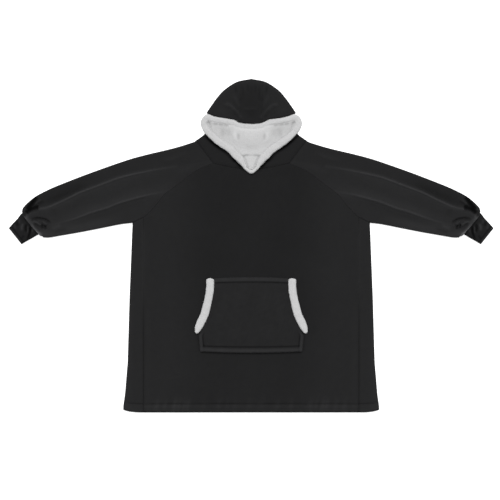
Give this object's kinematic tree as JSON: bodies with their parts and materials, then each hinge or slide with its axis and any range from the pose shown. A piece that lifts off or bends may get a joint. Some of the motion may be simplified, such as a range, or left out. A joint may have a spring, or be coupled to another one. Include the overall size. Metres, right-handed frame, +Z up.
{
  "type": "wearable blanket hoodie",
  "caption": "Charcoal wearable blanket hoodie laid flat, face up, with white sherpa lining in the hood and white sherpa trim at the hood opening and the pocket.",
  "frame": {"origin": "middle of the garment in plan, on the surface that it lies on", "axes": "+X towards the wearer's left cuff, +Y towards the hood, +Z up from the surface"},
  "size_m": [1.817, 1.25, 0.0371],
  "materials": {
    "fleece": "soft charcoal flannel fleece with a short brushed nap",
    "cuff": "darker charcoal fleece cuff with a topstitched edge",
    "sherpa": "white curly sherpa pile"
  },
  "bodies": {
    "root": {"back_panel": "fleece", "front_panel": "fleece", "sleeve_left": "fleece", "sleeve_right": "fleece", "cuff_left": "cuff", "cuff_right": "cuff", "hood_center": "fleece", "hood_side_left": "fleece", "hood_side_right": "fleece", "hood_lining": "sherpa", "hood_trim": "sherpa", "neck_lining": "sherpa", "pocket": "fleece", "pocket_trim_left": "sherpa", "pocket_trim_right": "sherpa"}
  },
  "joints": []
}
